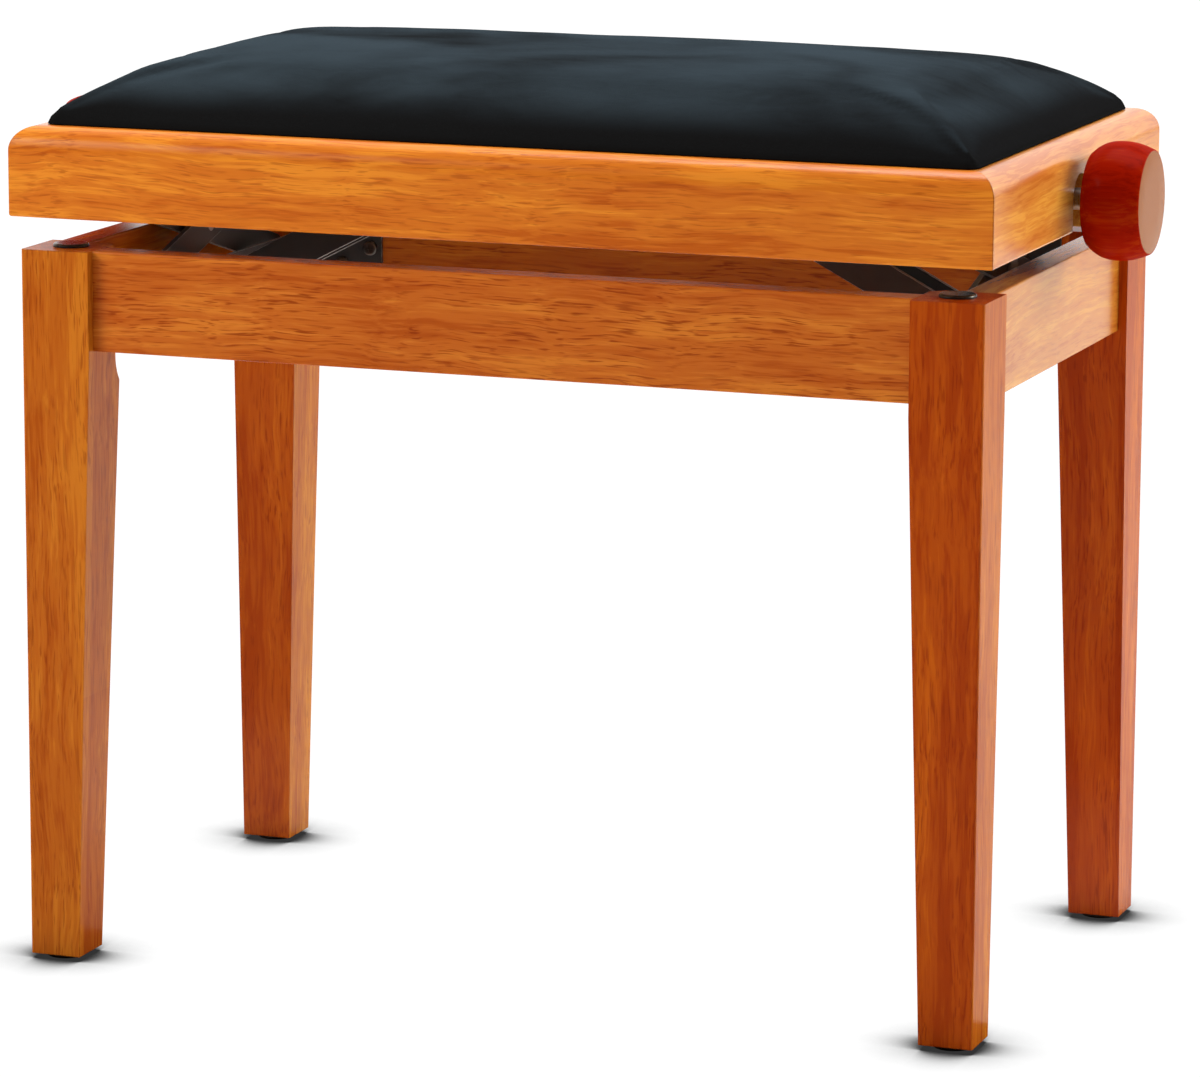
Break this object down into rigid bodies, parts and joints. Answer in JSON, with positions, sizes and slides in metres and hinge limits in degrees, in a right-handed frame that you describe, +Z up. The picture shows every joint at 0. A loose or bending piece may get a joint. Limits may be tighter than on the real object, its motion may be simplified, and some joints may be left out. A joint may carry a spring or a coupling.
{
  "type": "adjustable piano bench",
  "caption": "Height-adjustable piano bench: velvet-topped wooden seat on tapered legs, raised by turning either side knob through a spindle and scissor lift.",
  "frame": {"origin": "on the floor under the middle of the bench", "axes": "+X along the seat to the right, +Y to the back, +Z up"},
  "size_m": [0.634, 0.33, 0.5023],
  "materials": {
    "wood_lacquered": "satin-gloss clear lacquer over honey-brown stain",
    "wood_dark": "glossy red-brown lacquer",
    "wood_plain": "bare sanded wood",
    "plywood": "bare plywood",
    "velvet": "black velvet pile",
    "bumper": "glossy black",
    "glide": "matt dark plastic on a nail",
    "black_steel": "satin black enamel",
    "bright_steel": "turned, lightly oiled",
    "screw_steel": "dark zinc",
    "nylon": "natural white nylon"
  },
  "bodies": {
    "base": {"leg_front_left": "wood_lacquered", "leg_front_right": "wood_lacquered", "leg_back_left": "wood_lacquered", "leg_back_right": "wood_lacquered", "apron_front": "wood_lacquered", "apron_back": "wood_lacquered", "apron_left": "wood_lacquered", "apron_right": "wood_lacquered", "apron_dowels": "wood_plain", "floor_glides": "glide", "stop_bumpers": "bumper", "base_bracket_left": "black_steel", "base_bracket_right": "black_steel", "base_bracket_screws": "screw_steel", "base_scissor_rivets": "bright_steel", "lift_arm_pins": "bright_steel"},
    "seat": {"seat_board_front": "wood_lacquered", "seat_board_back": "wood_lacquered", "seat_board_left": "wood_lacquered", "seat_board_right": "wood_lacquered", "seat_glue_blocks": "wood_plain", "cushion_board_screws": "screw_steel", "cushion_board": "plywood", "seat_cushion": "velvet", "seat_bracket_left": "black_steel", "seat_bracket_right": "black_steel", "seat_bracket_screws": "screw_steel", "seat_scissor_rivets": "bright_steel", "spindle_bushes": "nylon"},
    "spindle_set": {"spindle": "bright_steel", "spindle_collars": "bright_steel", "knob_left": "wood_dark", "knob_right": "wood_dark", "knob_grub_screws": "screw_steel"},
    "nut_carriage_left": {"nut_left": "black_steel"},
    "lift_link_left": {"lift_arm_left": "black_steel", "lift_spacers_left": "bright_steel"},
    "scissor_a_left": {"scissor_arm_a_left": "black_steel", "scissor_studs_a_left": "bright_steel", "roller_a_left": "nylon"},
    "scissor_b_left": {"scissor_arm_b_left": "black_steel", "scissor_stud_b_left": "bright_steel", "roller_b_left": "nylon"},
    "nut_carriage_right": {"nut_right": "black_steel"},
    "lift_link_right": {"lift_arm_right": "black_steel", "lift_spacers_right": "bright_steel"},
    "scissor_a_right": {"scissor_arm_a_right": "black_steel", "scissor_studs_a_right": "bright_steel", "roller_a_right": "nylon"},
    "scissor_b_right": {"scissor_arm_b_right": "black_steel", "scissor_stud_b_right": "bright_steel", "roller_b_right": "nylon"}
  },
  "joints": [
    {"name": "knob_turn", "type": "hinge", "parent": "seat", "child": "spindle_set", "pos_m": [0, 0, 0.433], "axis": [1, 0, 0], "range_deg": [-1805.23, 7425.02]},
    {"name": "seat_lift", "type": "slide", "parent": "base", "child": "seat", "axis": [0, 0, 1], "range_m": [-0.0155, 0.064]},
    {"name": "nut_travel_left", "type": "slide", "parent": "seat", "child": "nut_carriage_left", "axis": [-1, 0, 0], "range_m": [-0.01504, 0.06187]},
    {"name": "lift_arm_fold_left", "type": "hinge", "parent": "base", "child": "lift_link_left", "pos_m": [-0.217, 0, 0.3607], "axis": [0, -1, 0], "range_deg": [-8.03, 33.04]},
    {"name": "scissor_a_fold_left", "type": "hinge", "parent": "base", "child": "scissor_a_left", "pos_m": [-0.233, -0.105, 0.365], "axis": [1, 0, 0], "range_deg": [-4.53, 18.62]},
    {"name": "scissor_b_fold_left", "type": "hinge", "parent": "seat", "child": "scissor_b_left", "pos_m": [-0.2385, -0.105, 0.422], "axis": [-1, 0, 0], "range_deg": [-4.53, 18.62]},
    {"name": "nut_travel_right", "type": "slide", "parent": "seat", "child": "nut_carriage_right", "axis": [1, 0, 0], "range_m": [-0.01504, 0.06187]},
    {"name": "lift_arm_fold_right", "type": "hinge", "parent": "base", "child": "lift_link_right", "pos_m": [0.217, 0, 0.3607], "axis": [0, 1, 0], "range_deg": [-8.03, 33.04]},
    {"name": "scissor_a_fold_right", "type": "hinge", "parent": "base", "child": "scissor_a_right", "pos_m": [0.233, -0.105, 0.365], "axis": [1, 0, 0], "range_deg": [-4.53, 18.62]},
    {"name": "scissor_b_fold_right", "type": "hinge", "parent": "seat", "child": "scissor_b_right", "pos_m": [0.2385, -0.105, 0.422], "axis": [-1, 0, 0], "range_deg": [-4.53, 18.62]}
  ],
  "couplings": [
    {"joint": "knob_turn", "follows": "seat_lift", "rad_per_m": 2022.3},
    {"joint": "nut_travel_left", "follows": "seat_lift", "ratio": 0.9656},
    {"joint": "lift_arm_fold_left", "follows": "seat_lift", "rad_per_m": 8.9989},
    {"joint": "scissor_a_fold_left", "follows": "seat_lift", "rad_per_m": 5.0719},
    {"joint": "scissor_b_fold_left", "follows": "seat_lift", "rad_per_m": 5.0719},
    {"joint": "nut_travel_right", "follows": "seat_lift", "ratio": 0.9656},
    {"joint": "lift_arm_fold_right", "follows": "seat_lift", "rad_per_m": 8.9989},
    {"joint": "scissor_a_fold_right", "follows": "seat_lift", "rad_per_m": 5.0719},
    {"joint": "scissor_b_fold_right", "follows": "seat_lift", "rad_per_m": 5.0719}
  ]
}
